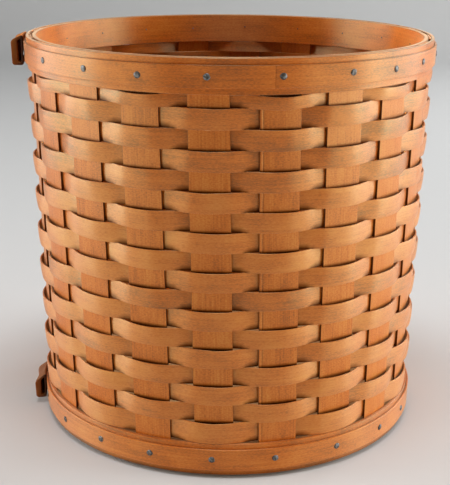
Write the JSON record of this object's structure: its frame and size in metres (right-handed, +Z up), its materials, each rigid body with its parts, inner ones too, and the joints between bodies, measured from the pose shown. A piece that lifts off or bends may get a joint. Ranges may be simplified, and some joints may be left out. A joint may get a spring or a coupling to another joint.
{
  "type": "canister basket",
  "caption": "Round, nearly straight-sided canister basket of woven wood splints, with nailed rim and base bands, a board bottom and leather side loops, for holding loose goods.",
  "frame": {"origin": "centre of the underside, on the basket's axis", "axes": "+Z up along the axis; -Y is the front that the picture shows; the leather loops are at -X"},
  "size_m": [0.2925, 0.2832, 0.27],
  "materials": {
    "upright_splint": "satin-varnished maple splint, grain lengthwise",
    "weaver_splint": "satin-varnished maple splint, grain lengthwise",
    "band_wood": "satin-varnished bent maple band",
    "board_wood": "sanded, thinly varnished board",
    "loop_leather": "brown vegetable-tanned leather",
    "nail_steel": "bare dull steel"
  },
  "bodies": {
    "root": {"upright_01": "upright_splint", "upright_02": "upright_splint", "upright_03": "upright_splint", "upright_04": "upright_splint", "upright_05": "upright_splint", "upright_06": "upright_splint", "upright_07": "upright_splint", "upright_08": "upright_splint", "upright_09": "upright_splint", "upright_10": "upright_splint", "upright_11": "upright_splint", "upright_12": "upright_splint", "upright_13": "upright_splint", "upright_14": "upright_splint", "upright_15": "upright_splint", "upright_16": "upright_splint", "upright_17": "upright_splint", "upright_18": "upright_splint", "upright_19": "upright_splint", "upright_20": "upright_splint", "weaver_01": "weaver_splint", "weaver_02": "weaver_splint", "weaver_03": "weaver_splint", "weaver_04": "weaver_splint", "weaver_05": "weaver_splint", "weaver_06": "weaver_splint", "weaver_07": "weaver_splint", "weaver_08": "weaver_splint", "weaver_09": "weaver_splint", "weaver_10": "weaver_splint", "weaver_11": "weaver_splint", "weaver_12": "weaver_splint", "weaver_13": "weaver_splint", "weaver_14": "weaver_splint", "weaver_15": "weaver_splint", "weaver_16": "weaver_splint", "weaver_17": "weaver_splint", "weaver_18": "weaver_splint", "rim_outer_band": "band_wood", "rim_overlay_band": "band_wood", "rim_inner_band": "band_wood", "base_outer_band": "band_wood", "base_overlay_band": "band_wood", "bottom_board": "board_wood", "rim_leather_loop": "loop_leather", "base_leather_loop": "loop_leather", "rim_loop_tack_01": "nail_steel", "rim_loop_tack_02": "nail_steel", "base_loop_tack_01": "nail_steel", "base_loop_tack_02": "nail_steel"}
  },
  "joints": []
}
